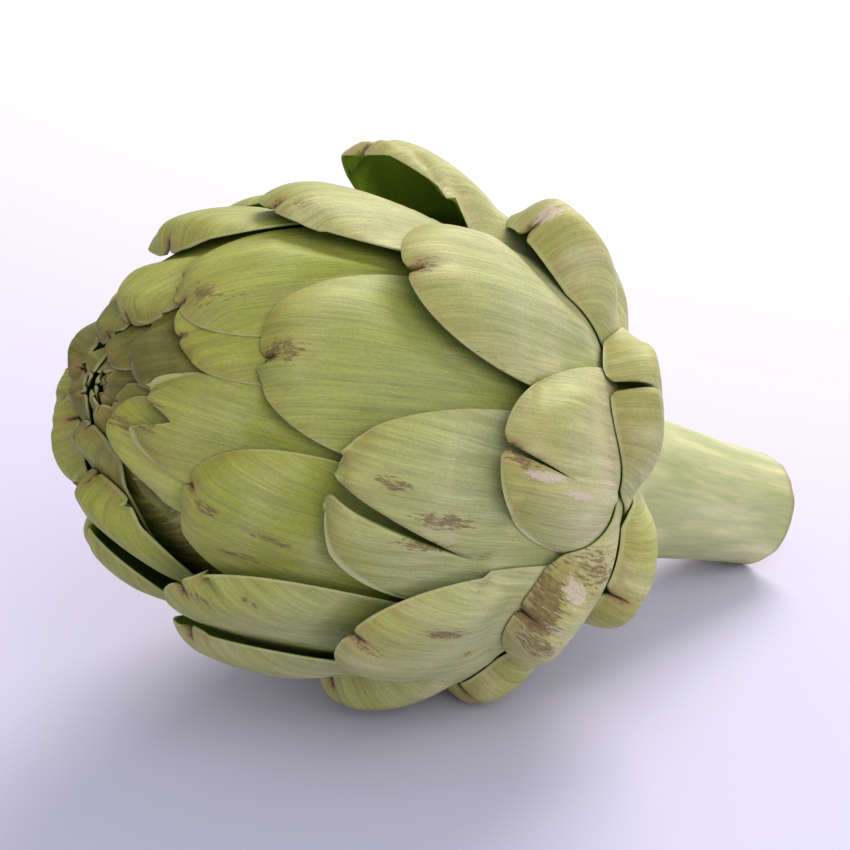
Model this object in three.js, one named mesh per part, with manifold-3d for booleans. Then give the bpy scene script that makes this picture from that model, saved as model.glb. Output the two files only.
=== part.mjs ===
// A globe artichoke as picked, lying on its side on a small flat spot. Millimetres, +Z up.
// The head is built upright round its own axis and then laid down, with the stem towards +X.
// Overlapping bracts stand on one spiral, a golden angle apart, and grow from the heart on top of the stem.
// Each bract is a curved blade. It lies a fixed depth below the bracts outside it, so no two of them meet.
import * as THREE from 'three';
import Module from 'manifold-3d';

const wasm = await Module();
wasm.setup();

// The head's outer shape: two half ovals that meet at the widest ring.
const HEAD_LENGTH = 107.6;
const HEAD_RADIUS = 48;
const WIDEST_HEIGHT = 30;
const CROWN_POWER = 2.17;
const BASE_POWER = 1.85;
const BASE_DEPTH = 32.6;
const CROWN_DEPTH = HEAD_LENGTH - WIDEST_HEIGHT;

// The stem, and how the head lies.
const STEM_LENGTH = 56;
const STEM_TOP_RADIUS = 16.7;
const STEM_CUT_RADIUS = 11.9;
const STEM_EDGE = 1.2;
const STEM_FLARE = 1.2;
const AXIS_LIFT = THREE.MathUtils.degToRad(23.4);
const BASE_X = 39.9;
const FLAT_SINK = 0.9;
const GROUND_SIZE = 400;
const GROUND_DEPTH = 40;

// The spiral of bract tips, counted from the lowest one. Distances run along the surface from the crown.
const GOLDEN_ANGLE = 137.508;
const FIRST_TIP_ANGLE = 278.6;
const FIRST_TIP_DISTANCE = 118.55;
const TIP_SPACING = 3.25;
const CROWDED_FROM = 27;
const CROWDING = 0.0955;
const CROWDING_GROWTH = 0.0012;
const FREE_BRACTS = 38;
const BUD_BRACTS = 60;

// How the bracts lie over each other: the depth of one turn of the spiral, at the sides and at the crown.
const LAYER_STEP = 0.5;
const CROWN_LAYER_STEP = 0.34;
const LAYER_THINNING = 8;
const BRACT_GAP = 0.65;
const HIDDEN_GAP = 0.7;
const HIDDEN_GAP_RUN = 6;
const OVERLAPPING_NUMBERS = 24;
const DEEPEST_LAYERS = 21;
const ROOM_MARGIN = 2;
const ROOM_SLOPE = 0.5;
const TOUCH_VOLUME = 0.0005;
const SHAVED_GAP = 0.3;

// One full-grown bract.
const TIP_LENGTH = 40;
const TIP_POWER = 2.2;
const MOST_TIP_SHARE = 0.85;
const HALF_WIDTH = 21;
const LOWEST_SIZE = 0.72;
const SIZE_GROWTH = 0.03;
const CROWN_SIZE = 0.25;
const WIDEST_SHARE_OF_RING = 0.62;
const ROOT_NARROWING = 0.58;
const FLESH = 2.4;
const FLESH_RUN = 0.8;
const EDGE_THICKNESS = 0.8;
const THINNEST = 0.65;
const PILLOW = 3.3;
const CROWN_PILLOW_SHARE = 0.5;
const PILLOW_RUN = 10;
const COVER_MARGIN = 8;
const EDGE_HUG = 1;
const EDGE_HUG_RUN = 6;
const HUG_ONSET = 4;
const LIFT_RUN = 25;
const LIFT_CURVE = 1.5;
const LIFT_ARCH = 0.45;
const LIFT_FADE = 8;
const FIRST_ROOT = 3;
const ROOT_SPACING = 0.75;
const NOTCH_HALF_WIDTH = 1.7;
const NOTCH_DEPTH = 4.5;
const NOTCH_DIP = 0.8;

// The heart on top of the stem, and the closed middle of the bud.
const ROOT_ROOM = FLESH + 0.5;
const ROOT_LEAD = 1;
const ROOT_CLEARANCE = 0.8;
const HEART_CROWDING = 1.4;
const CROWN_HOLLOW = 3.2;
const CROWN_SINK = 2.2;
const CORE_SPARE = 1.4;
const CORE_CROWDING = 1.1;
const CORE_INSET = 0.3;
const CORE_START = 0.35;
const BUD_ROOT_LENGTH = 6;
const BUD_TIP_SHARE = 0.6;

// The colours of the skin.
const BRACT_COLOUR = 0x8d9a5e;
const BRACT_ROUGHNESS = 0.6;
const STEM_COLOUR = 0xaab680;
const STEM_ROUGHNESS = 0.65;

// How finely the shapes are built, and the limits of the sums.
const BRACT_COLUMNS = 4;
const BRACT_ROWS = 7;
const BUD_COLUMNS = 2;
const BUD_ROWS = 3;
const COLUMN_SPREAD = 1.3;
const ROW_CROWDING = 1.35;
const ROOT_CROWDING = 0.65;
const STEM_SIDES = 24;
const STEM_RINGS = 7;
const HEART_RINGS = 10;
const CORE_SIDES = 20;
const CORE_RINGS = 12;
const PROFILE_STEPS = 400;
const SEARCH_PASSES = 5;
const SEARCH_SHARE = 0.8;
const LEAST_SLOPE = 0.02;
const NEAREST_CROWN = 0.05;
const FAR_AWAY = 99;
const TINY = 1e-6;
const WELD_DIGITS = 3;

// What sets single bracts apart: turn (degrees) and shift towards the base (mm) of the tip,
// lift of the tip and its run back from the tip (mm) with its curve and how fast it fades to the sides,
// and length and half width of a tear (mm).
const PECULIAR = {
  1: { turn: -24, lift: 5, liftRun: 24 },
  4: { turn: -18, shift: -2 },
  6: { turn: -5, tear: 8, tearHalf: 1.5, lift: 1.5 },
  9: { turn: -9, shift: 2, lift: 1 },
  11: { turn: 4, shift: 7, lift: 5, liftRun: 46, liftCurve: 0.7, liftArch: 1.05 },
  12: { turn: -12, lift: 1.2 },
  14: { turn: -3, tear: 12, tearHalf: 1.2 },
  16: { shift: 3, lift: 8, liftRun: 46, liftCurve: 1.1, liftArch: 1.3 },
  17: { turn: -3, shift: -1.5, lift: 1.5 },
  19: { turn: 2.5, lift: 1.6 },
  20: { turn: 5, shift: -5 },
  22: { shift: -2.5, tear: 28, tearHalf: 1.5, lift: 2.2 },
  24: { turn: 4.6, shift: 1, lift: 1 },
  25: { turn: -2.5, shift: -3, lift: 1 },
  27: { shift: -2 },
  29: { turn: -5 },
  30: { lift: 0.5 },
  33: { turn: 120.5, tear: 2.5, tearHalf: 0.8 },
  34: { turn: -147.5, shift: -4.3, tear: 8.5, tearHalf: 3.4 },
  35: { turn: -28.5, shift: -7 },
  36: { turn: -12 },
  38: { turn: -43, shift: 5.1, lift: 2 },
  39: { shift: 2 },
  42: { shift: 3 },
};

const clamp01 = (value) => Math.min(1, Math.max(0, value));
const smooth = (value) => clamp01(value) ** 2 * (3 - 2 * clamp01(value));
const rise = (value) => 1 - (1 - clamp01(value)) ** 2;

function envelopeRadius(polar) {
  const crown = polar < Math.PI / 2;
  const depth = crown ? CROWN_DEPTH : BASE_DEPTH;
  const power = crown ? CROWN_POWER : BASE_POWER;
  const across = (Math.sin(polar) / HEAD_RADIUS) ** power;
  const along = (Math.abs(Math.cos(polar)) / depth) ** power;
  return (across + along) ** (-1 / power);
}

// The head's profile from the crown to the stem, as evenly turned stations.
function makeProfile() {
  const lastPolar = Math.PI - Math.atan2(STEM_TOP_RADIUS, WIDEST_HEIGHT);
  const stations = [];
  let distance = 0;
  for (let step = 0; step <= PROFILE_STEPS; step += 1) {
    const polar = lastPolar * step / PROFILE_STEPS;
    const ring = envelopeRadius(polar) * Math.sin(polar);
    const height = WIDEST_HEIGHT + envelopeRadius(polar) * Math.cos(polar);
    const before = stations[step - 1];
    distance += before ? Math.hypot(ring - before.ring, height - before.height) : 0;
    stations.push({ polar, ring, height, distance });
  }
  return stations;
}

const PROFILE = makeProfile();
const PROFILE_LENGTH = PROFILE[PROFILE_STEPS].distance;

// The station at a distance from the crown, with the direction of the profile there.
function stationAt(distance) {
  const wanted = Math.min(Math.max(distance, 0), PROFILE_LENGTH);
  let low = 0;
  let high = PROFILE_STEPS;
  while (high - low > 1) {
    const middle = (low + high) >> 1;
    if (PROFILE[middle].distance > wanted) high = middle;
    else low = middle;
  }
  const a = PROFILE[low];
  const b = PROFILE[high];
  const run = b.distance - a.distance;
  const share = (distance - a.distance) / run;
  const mix = (name) => a[name] + (b[name] - a[name]) * share;
  return {
    polar: mix('polar'),
    ring: mix('ring'),
    height: mix('height'),
    outward: (b.ring - a.ring) / run,
    upward: (b.height - a.height) / run,
  };
}

function distanceAt(polar) {
  const place = Math.min(polar / PROFILE[PROFILE_STEPS].polar, 1) * PROFILE_STEPS;
  const low = Math.min(Math.floor(place), PROFILE_STEPS - 1);
  const share = place - low;
  return PROFILE[low].distance + (PROFILE[low + 1].distance - PROFILE[low].distance) * share;
}

const CROWDED_DISTANCE = FIRST_TIP_DISTANCE - TIP_SPACING * (CROWDED_FROM - 1);

// How many numbers apart bracts can be that lie over each other.
const NEIGHBOURS = Array.from({ length: OVERLAPPING_NUMBERS }, (_, index) => index + 1);

function tipDistance(number) {
  if (number <= CROWDED_FROM) return FIRST_TIP_DISTANCE - TIP_SPACING * (number - 1);
  const past = number - CROWDED_FROM;
  return CROWDED_DISTANCE * Math.exp(-CROWDING * past - CROWDING_GROWTH * past * past);
}

// Which bract, as a fractional number, has its tip at this distance from the crown.
function numberAt(distance) {
  if (distance >= CROWDED_DISTANCE) {
    return Math.max(1, 1 + (FIRST_TIP_DISTANCE - distance) / TIP_SPACING);
  }
  const logShare = Math.log(Math.max(distance, NEAREST_CROWN) / CROWDED_DISTANCE);
  const root = Math.sqrt(CROWDING ** 2 - 4 * CROWDING_GROWTH * logShare);
  return CROWDED_FROM + (root - CROWDING) / (2 * CROWDING_GROWTH);
}

// Depth of a bract's layer below the lowest one.
function layerDepth(number) {
  if (number <= CROWDED_FROM) return LAYER_STEP * number;
  const past = number - CROWDED_FROM;
  const extra = (LAYER_STEP - CROWN_LAYER_STEP) * LAYER_THINNING;
  const crowded = CROWN_LAYER_STEP * past + extra * (1 - Math.exp(-past / LAYER_THINNING));
  return LAYER_STEP * CROWDED_FROM + crowded;
}

function layerStep(number) {
  return layerDepth(number + 0.5) - layerDepth(number - 0.5);
}

function makeBract(number) {
  const own = PECULIAR[number] ?? {};
  const distance = tipDistance(number) + (own.shift ?? 0);
  const fromBelow = LOWEST_SIZE + SIZE_GROWTH * number;
  const fromAbove = CROWN_SIZE + (1 - CROWN_SIZE) * distance / CROWDED_DISTANCE;
  const size = Math.min(1, fromBelow, fromAbove);
  const rootDistance = PROFILE_LENGTH - FIRST_ROOT - ROOT_SPACING * (number - 1);
  const length = rootDistance - distance;
  const turn = FIRST_TIP_ANGLE - GOLDEN_ANGLE * (number - 1) + (own.turn ?? 0);
  return {
    number,
    size,
    distance,
    length,
    angle: THREE.MathUtils.degToRad(turn),
    tipLength: Math.min(TIP_LENGTH * size, MOST_TIP_SHARE * length),
    halfWidth: HALF_WIDTH * size,
    lift: own.lift ?? 0,
    liftRun: own.liftRun ?? LIFT_RUN,
    liftCurve: own.liftCurve ?? LIFT_CURVE,
    liftArch: own.liftArch ?? LIFT_ARCH,
    tear: own.tear ?? NOTCH_DEPTH * size,
    tearHalf: own.tearHalf ?? NOTCH_HALF_WIDTH * size,
  };
}

const BRACTS = [];
for (let number = 1; number <= BUD_BRACTS; number += 1) BRACTS[number] = makeBract(number);

// Half width of a bract's blade, below its rounded tip.
function bladeHalfWidth(bract, back) {
  const past = smooth((back - bract.tipLength) / (bract.length - bract.tipLength));
  const narrowed = bract.halfWidth * (1 - ROOT_NARROWING * past);
  const station = stationAt(bract.distance + back);
  if (station.height > WIDEST_HEIGHT) return narrowed;
  return Math.min(narrowed, WIDEST_SHARE_OF_RING * station.ring);
}

// A place on the head's outer shape, from a distance back from a bract's tip and a distance across.
function directionOn(bract, back, across) {
  const station = stationAt(bract.distance + back);
  const normal = new THREE.Vector3(-station.upward, 0, station.outward);
  const crossRadius = station.ring / Math.max(normal.x, LEAST_SLOPE);
  const angle = across / crossRadius;
  const point = new THREE.Vector3(station.ring, 0, station.height - WIDEST_HEIGHT);
  point.addScaledVector(normal, crossRadius * (Math.cos(angle) - 1));
  point.y += crossRadius * Math.sin(angle);
  point.applyAxisAngle(new THREE.Vector3(0, 0, 1), bract.angle);
  return point.normalize();
}

// The reverse: how far back and across a direction lies, seen from a bract.
function placeOn(bract, direction) {
  const polar = Math.acos(THREE.MathUtils.clamp(direction.z, -1, 1));
  const radius = envelopeRadius(polar);
  const ring = radius * Math.sin(polar);
  const height = WIDEST_HEIGHT + radius * Math.cos(polar);
  const turn = Math.atan2(direction.y, direction.x) - bract.angle;
  const facing = ring * Math.cos(turn);
  let distance = distanceAt(polar);
  let station = stationAt(distance);
  for (let pass = 0; pass < SEARCH_PASSES; pass += 1) {
    const error = (facing - station.ring) * station.outward + (height - station.height) * station.upward;
    distance = Math.min(Math.max(distance + SEARCH_SHARE * error, 0), PROFILE_LENGTH);
    station = stationAt(distance);
  }
  const crossRadius = station.ring / Math.max(-station.upward, LEAST_SLOPE);
  const behind = Math.cos(turn) < 0;
  const share = THREE.MathUtils.clamp(ring * Math.sin(turn) / crossRadius, -1, 1);
  const across = behind ? FAR_AWAY : crossRadius * Math.asin(share);
  return { back: distance - bract.distance, across };
}

// How far inside a bract's outline a place lies, in millimetres, and negative outside it.
function insideDistance(bract, back, across) {
  if (back >= bract.tipLength) return bladeHalfWidth(bract, back) - Math.abs(across);
  const along = 1 - back / bract.tipLength;
  const side = Math.abs(across) / bract.halfWidth;
  const power = TIP_POWER - 1;
  const slope = TIP_POWER * Math.hypot(along ** power / bract.tipLength, side ** power / bract.halfWidth);
  return (1 - along ** TIP_POWER - side ** TIP_POWER) / Math.max(slope, TINY);
}

// How far a place lies under the bracts outside this one, negative where it is open to view.
function coverOver(bract, direction) {
  let cover = -FAR_AWAY;
  for (const apart of NEIGHBOURS) {
    const outer = BRACTS[bract.number - apart];
    if (outer) {
      const place = placeOn(outer, direction);
      cover = Math.max(cover, insideDistance(outer, place.back, place.across));
    }
  }
  return cover;
}

// The free depth under a place, down to the next bract inside this one.
function roomUnder(bract, direction) {
  let room = layerDepth(bract.number + DEEPEST_LAYERS) - layerDepth(bract.number);
  for (const apart of NEIGHBOURS) {
    const inner = BRACTS[bract.number + apart];
    if (inner) {
      const place = placeOn(inner, direction);
      const outside = Math.max(0, -ROOM_MARGIN - insideDistance(inner, place.back, place.across));
      const step = layerDepth(inner.number) - layerDepth(bract.number);
      room = Math.min(room, step + ROOM_SLOPE * outside);
    }
  }
  return room;
}

// How far a bract stands off the head here: by its own lift, or pushed out by a lifted one under it.
function liftAt(bract, direction) {
  let lift = 0;
  for (const lifted of BRACTS) {
    if (!lifted || !lifted.lift || lifted.number < bract.number) continue;
    const { back, across } = placeOn(lifted, direction);
    const arch = Math.max(0, 1 - lifted.liftArch * (across / lifted.halfWidth) ** 2);
    const fade = Math.min(1, clamp01(1 - back / lifted.liftRun) ** lifted.liftCurve);
    const stand = lifted.lift * arch * fade;
    const beside = 1 + insideDistance(lifted, back, across) / LIFT_FADE;
    lift = Math.max(lift, stand * (lifted === bract ? 1 : smooth(beside)));
  }
  return lift;
}

// Front and back points of a bract's blade, in the head's own frame.
function bladePoints(bract, back, across, inside, spare) {
  const direction = directionOn(bract, back, across);
  const polar = Math.acos(THREE.MathUtils.clamp(direction.z, -1, 1));
  const depth = layerDepth(bract.number) - layerDepth(numberAt(distanceAt(polar)));
  const cover = coverOver(bract, direction);
  const run = PILLOW_RUN * bract.size;
  const open = clamp01(-(cover + COVER_MARGIN * bract.size) / run);
  const room = roomUnder(bract, direction);
  const share = layerStep(bract.number) / LAYER_STEP;
  const height = PILLOW * (CROWN_PILLOW_SHARE + (1 - CROWN_PILLOW_SHARE) * bract.size);
  const pillow = height * rise(inside / run) * rise(open);
  const flesh = Math.max(EDGE_THICKNESS, FLESH * share);
  const fleshRun = FLESH_RUN * bract.halfWidth;
  const fleshy = EDGE_THICKNESS + (flesh - EDGE_THICKNESS) * rise(inside / fleshRun);
  const free = room - BRACT_GAP - HIDDEN_GAP * clamp01(cover / HIDDEN_GAP_RUN);
  const thickness = Math.max(THINNEST, Math.min(fleshy, free));
  const slack = Math.max(0, free - thickness);
  const hug = Math.min(EDGE_HUG, slack) * rise(open * HUG_ONSET) * (1 - rise(inside / EDGE_HUG_RUN));
  const lift = liftAt(bract, direction);
  const sink = bract.number > FREE_BRACTS ? CROWN_SINK * smooth(back / bract.length) : 0;
  const front = envelopeRadius(polar) - depth + pillow - hug + lift - sink;
  const place = (radius) => {
    const point = direction.clone().multiplyScalar(radius);
    point.z += WIDEST_HEIGHT;
    return point;
  };
  return [place(front + spare / 2), place(front - thickness - spare)];
}

// Where the rows lie along a blade: close together towards the tip and, less so, towards the root.
function rowShare(share) {
  return ROOT_CROWDING * (1 - Math.cos(Math.PI * share)) / 2 + (1 - ROOT_CROWDING) * share ** ROW_CROWDING;
}

// A bract's blade as rows from tip to root and columns from side to side, closed all round.
// The middle column is double down to the end of the notch or tear, which stands open.
function bladeGeometry(bract, columns, rows, spare = 0) {
  const corners = [];
  const ids = new Map();
  let tearRow = 1;
  while (rowShare((tearRow + 0.5) / rows) < bract.tear / bract.length) tearRow += 1;
  const order = [];
  for (let column = -columns; column <= columns; column += 1) {
    order.push({ column, lobe: column < 0 ? -1 : 1 });
    if (column === 0) order.splice(-1, 0, { column, lobe: -1 });
  }
  order.forEach(({ column, lobe }, place) => {
    const share = Math.sin(Math.PI / 2 * Math.sign(column) * Math.abs(column / columns) ** COLUMN_SPREAD);
    const roundness = Math.max(0, 1 - Math.abs(share) ** TIP_POWER) ** (1 / TIP_POWER);
    const dip = column === 0 ? NOTCH_DIP * bract.size : 0;
    const start = bract.tipLength * (1 - roundness) + dip;
    for (let row = 0; row <= rows; row += 1) {
      const joined = column === 0 && lobe === 1 && row >= tearRow;
      if (joined) {
        ids.set(`${place},${row}`, ids.get(`${place - 1},${row}`));
        continue;
      }
      const along = column === 0 && row <= tearRow ? bract.tear / bract.length * row / tearRow
        : rowShare(row / rows);
      const back = start + (bract.length - start) * along;
      const open = column === 0 ? bract.tearHalf * Math.max(0, 1 - row / tearRow) : 0;
      const across = share * bladeHalfWidth(bract, back) + lobe * open;
      const half = back < bract.tipLength ? bract.halfWidth : bladeHalfWidth(bract, back);
      const inside = Math.min(insideDistance(bract, back, across), half - Math.abs(across));
      ids.set(`${place},${row}`, corners.length / 2);
      corners.push(...bladePoints(bract, back, across, Math.max(0, inside), spare));
    }
  });
  const front = (place, row) => 2 * ids.get(`${place},${row}`);
  const faces = [];
  const quad = (a, b, c, d) => faces.push([a, b, c], [a, c, d]);
  const last = order.length - 1;
  for (let place = 0; place < last; place += 1) {
    if (place === columns) continue;
    for (let row = 0; row < rows; row += 1) {
      const [a, b] = [front(place, row), front(place + 1, row)];
      const [c, d] = [front(place + 1, row + 1), front(place, row + 1)];
      quad(a, d, c, b);
      quad(a + 1, b + 1, c + 1, d + 1);
    }
  }
  const outline = [];
  for (let row = rows; row >= 0; row -= 1) outline.push(front(0, row));
  for (let place = 1; place <= columns; place += 1) outline.push(front(place, 0));
  for (let row = 1; row <= tearRow; row += 1) outline.push(front(columns, row));
  for (let row = tearRow - 1; row >= 0; row -= 1) outline.push(front(columns + 1, row));
  for (let place = columns + 2; place <= last; place += 1) outline.push(front(place, 0));
  for (let row = 1; row <= rows; row += 1) outline.push(front(last, row));
  for (let place = last - 1; place >= 1; place -= 1) outline.push(front(place, rows));
  outline.forEach((a, step) => {
    const b = outline[(step + 1) % outline.length];
    if (a !== b) quad(a, b, b + 1, a + 1);
  });
  return { corners, faces };
}

function toManifold({ corners, faces }) {
  const vertProperties = new Float32Array(corners.flatMap((point) => point.toArray()));
  const triVerts = new Uint32Array(faces.flat());
  return new wasm.Manifold(new wasm.Mesh({ numProp: 3, vertProperties, triVerts }));
}

function fromManifold(solid) {
  const mesh = solid.getMesh();
  const geometry = new THREE.BufferGeometry();
  geometry.setAttribute('position', new THREE.BufferAttribute(new Float32Array(mesh.vertProperties), 3));
  geometry.setIndex(new THREE.BufferAttribute(new Uint32Array(mesh.triVerts), 1));
  return geometry.toNonIndexed();
}

// The outer body alone: small hollows that joining has sealed are filled, and loose scraps dropped.
function largestBody(solid) {
  return solid.decompose().sort((a, b) => b.volume() - a.volume())[0];
}

// A solid turned round the head's axis, from [radius, height] points with both ends on the axis.
function turnedSolid(points, sides) {
  const corners = [];
  const faces = [];
  const rings = points.slice(1, -1);
  const [bottom, top] = [points[0], points[points.length - 1]];
  for (const [radius, height] of rings) {
    for (let side = 0; side < sides; side += 1) {
      const angle = 2 * Math.PI * side / sides;
      corners.push(new THREE.Vector3(radius * Math.cos(angle), radius * Math.sin(angle), height));
    }
  }
  const low = corners.push(new THREE.Vector3(0, 0, bottom[1])) - 1;
  const high = corners.push(new THREE.Vector3(0, 0, top[1])) - 1;
  for (let side = 0; side < sides; side += 1) {
    const next = (side + 1) % sides;
    faces.push([low, next, side]);
    faces.push([high, (rings.length - 1) * sides + side, (rings.length - 1) * sides + next]);
    for (let ring = 0; ring < rings.length - 1; ring += 1) {
      const [a, b] = [ring * sides + side, ring * sides + next];
      faces.push([a, b, b + sides], [a, b + sides, a + sides]);
    }
  }
  return { corners, faces };
}

// A point at a depth below the head's outer shape, as [radius, height].
function pointBelow(distance, depth) {
  const { polar } = stationAt(distance);
  const radius = envelopeRadius(polar) - depth;
  return [radius * Math.sin(polar), WIDEST_HEIGHT + radius * Math.cos(polar)];
}

const CORE_ROOM = CORE_SPARE + FLESH * layerStep(FREE_BRACTS) / LAYER_STEP;
const HEART_TOP_DISTANCE = PROFILE_LENGTH - FIRST_ROOT - ROOT_SPACING * FREE_BRACTS;

// Depth of the heart's side, just inside the roots of the bracts that grow there.
function heartDepth(distance) {
  const up = PROFILE_LENGTH - distance;
  const number = Math.max(1, 1 + (up - FIRST_ROOT + ROOT_LEAD) / ROOT_SPACING);
  const layers = layerDepth(number) - layerDepth(numberAt(distance));
  return layers + ROOT_ROOM * smooth(up / (FIRST_ROOT - ROOT_CLEARANCE));
}

// The stem with the fleshy heart on top of it, which the bracts grow from: one piece.
function stemSolid() {
  const points = [[0, -STEM_LENGTH], [STEM_CUT_RADIUS - STEM_EDGE, -STEM_LENGTH]];
  for (let ring = 0; ring < STEM_RINGS; ring += 1) {
    const share = ring / STEM_RINGS;
    const radius = STEM_CUT_RADIUS + (STEM_TOP_RADIUS - STEM_CUT_RADIUS) * share ** STEM_FLARE;
    points.push([radius, STEM_EDGE - STEM_LENGTH + (STEM_LENGTH - STEM_EDGE) * share]);
  }
  for (let ring = 0; ring <= HEART_RINGS; ring += 1) {
    const share = (ring / HEART_RINGS) ** HEART_CROWDING;
    const distance = PROFILE_LENGTH + (HEART_TOP_DISTANCE - PROFILE_LENGTH) * share;
    points.push(pointBelow(distance, heartDepth(distance)));
  }
  points.push([0, points[points.length - 1][1]]);
  return toManifold(turnedSolid(points, STEM_SIDES));
}

// The closed middle of the bud: a core with the small crown bracts standing out of it.
function budSolid() {
  const [radius, height] = pointBelow(HEART_TOP_DISTANCE, heartDepth(HEART_TOP_DISTANCE));
  const points = [[0, height + CORE_START], [radius - CORE_INSET, height + CORE_START]];
  for (let ring = 1; ring < CORE_RINGS; ring += 1) {
    const distance = HEART_TOP_DISTANCE * (1 - ring / CORE_RINGS) ** CORE_CROWDING;
    const layers = layerDepth(FREE_BRACTS + 1) - layerDepth(numberAt(distance));
    points.push(pointBelow(distance, Math.max(CROWN_HOLLOW, layers) + CORE_ROOM));
  }
  points.push([0, HEAD_LENGTH - CROWN_HOLLOW - CORE_ROOM]);
  let solid = toManifold(turnedSolid(points, CORE_SIDES));
  for (let number = FREE_BRACTS + 1; number <= BUD_BRACTS; number += 1) {
    const bract = { ...BRACTS[number], length: 2 * BRACTS[number].halfWidth + BUD_ROOT_LENGTH };
    bract.tipLength = Math.min(bract.tipLength, BUD_TIP_SHARE * bract.length);
    solid = solid.add(toManifold(bladeGeometry(bract, BUD_COLUMNS, BUD_ROWS)));
  }
  return largestBody(solid);
}

const laidDown = new THREE.Matrix4().makeRotationY(AXIS_LIFT - Math.PI / 2);

// How far the head's outer shape reaches down from its base point when it is laid down.
function reachDown() {
  const [cos, sin] = [Math.cos(AXIS_LIFT), Math.sin(AXIS_LIFT)];
  return Math.max(...PROFILE.map(({ ring, height }) => ring * cos - height * sin));
}

const head = new THREE.Group();
head.position.set(BASE_X, 0, reachDown() - FLAT_SINK);
head.setRotationFromMatrix(laidDown);
head.updateMatrixWorld(true);

// The ground, as a block in the head's own frame. It cuts the flat spots where the head and the stem rest.
function groundSolid() {
  const box = new THREE.BoxGeometry(GROUND_SIZE, GROUND_SIZE, GROUND_DEPTH);
  box.translate(0, 0, -GROUND_DEPTH / 2);
  box.applyMatrix4(head.matrixWorld.clone().invert());
  const position = box.getAttribute('position');
  const corners = [];
  const faces = [];
  const seen = new Map();
  const ids = [];
  for (let index = 0; index < position.count; index += 1) {
    const point = new THREE.Vector3().fromBufferAttribute(position, index);
    const key = point.toArray().map((value) => value.toFixed(WELD_DIGITS)).join();
    if (!seen.has(key)) seen.set(key, corners.push(point) - 1);
    ids.push(seen.get(key));
  }
  const index = box.getIndex().array;
  for (let start = 0; start < index.length; start += 3) {
    faces.push([ids[index[start]], ids[index[start + 1]], ids[index[start + 2]]]);
  }
  return toManifold({ corners, faces });
}

const ground = groundSolid();
const BRACT_SOLIDS = [];

function addPiece(name, solid, color, roughness) {
  const material = new THREE.MeshStandardMaterial({ color, roughness, metalness: 0 });
  const mesh = new THREE.Mesh(fromManifold(solid.subtract(ground)), material);
  mesh.name = name;
  head.add(mesh);
}

// A bract's solid, shaved where its flat facets would touch a bract that lies over it.
function bractSolid(number) {
  let blade = toManifold(bladeGeometry(BRACTS[number], BRACT_COLUMNS, BRACT_ROWS));
  for (const apart of NEIGHBOURS) {
    const outer = BRACT_SOLIDS[number - apart];
    if (outer && blade.intersect(outer).volume() > TOUCH_VOLUME) {
      const over = bladeGeometry(BRACTS[number - apart], BRACT_COLUMNS, BRACT_ROWS, SHAVED_GAP);
      blade = largestBody(blade.subtract(toManifold(over)));
    }
  }
  return blade;
}

addPiece('stem', stemSolid(), STEM_COLOUR, STEM_ROUGHNESS);
for (let number = 1; number <= FREE_BRACTS; number += 1) {
  BRACT_SOLIDS[number] = bractSolid(number);
  const name = `bract_${String(number).padStart(2, '0')}`;
  addPiece(name, BRACT_SOLIDS[number], BRACT_COLOUR, BRACT_ROUGHNESS);
}
addPiece('inner_bud', budSolid(), BRACT_COLOUR, BRACT_ROUGHNESS);

const artichoke = new THREE.Group();
artichoke.name = 'artichoke';
artichoke.add(head);

export default artichoke;
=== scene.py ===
import math

import bmesh
import bpy
import numpy as np
from mathutils import Matrix, Vector


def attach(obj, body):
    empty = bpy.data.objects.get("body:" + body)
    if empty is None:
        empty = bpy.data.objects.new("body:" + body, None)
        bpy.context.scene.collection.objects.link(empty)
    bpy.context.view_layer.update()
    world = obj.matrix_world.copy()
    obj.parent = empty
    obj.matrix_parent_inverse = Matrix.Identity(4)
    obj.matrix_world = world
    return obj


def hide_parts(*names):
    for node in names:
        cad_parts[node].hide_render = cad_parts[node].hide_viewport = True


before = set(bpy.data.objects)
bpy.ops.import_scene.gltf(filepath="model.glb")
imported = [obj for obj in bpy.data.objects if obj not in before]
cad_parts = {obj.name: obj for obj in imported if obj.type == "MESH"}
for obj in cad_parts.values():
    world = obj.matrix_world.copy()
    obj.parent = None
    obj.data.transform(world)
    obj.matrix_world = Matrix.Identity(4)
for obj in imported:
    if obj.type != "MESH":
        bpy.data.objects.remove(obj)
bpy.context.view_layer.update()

MM = 0.001

# The head's outer shape: two half ovals that meet at the widest ring.
HEAD_LENGTH = 107.6
HEAD_RADIUS = 48.0
WIDEST_HEIGHT = 30.0
CROWN_POWER = 2.17
BASE_POWER = 1.85
BASE_DEPTH = 32.6
CROWN_DEPTH = HEAD_LENGTH - WIDEST_HEIGHT
PROFILE_STEPS = 400

# The stem, and how the head lies.
STEM_LENGTH = 56.0
STEM_TOP_RADIUS = 16.7
STEM_CUT_RADIUS = 11.9
STEM_EDGE = 1.2
AXIS_LIFT = math.radians(23.4)
BASE_X = 39.9
FLAT_SINK = 0.9

# The spiral of bract tips, counted from the lowest one. Distances run along the surface from the crown.
GOLDEN_ANGLE = 137.508
FIRST_TIP_ANGLE = 278.6
FIRST_TIP_DISTANCE = 118.55
TIP_SPACING = 3.25
CROWDED_FROM = 27
CROWDING = 0.0955
CROWDING_GROWTH = 0.0012
FREE_BRACTS = 38
BUD_BRACTS = 60
NEIGHBOURS = range(1, 25)

# How the bracts lie over each other.
LAYER_STEP = 0.5
CROWN_LAYER_STEP = 0.34
LAYER_THINNING = 8.0
BRACT_GAP = 0.15
HIDDEN_GAP = 0.25
HIDDEN_GAP_RUN = 6.0
OPEN_LAYERS = 21

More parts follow.
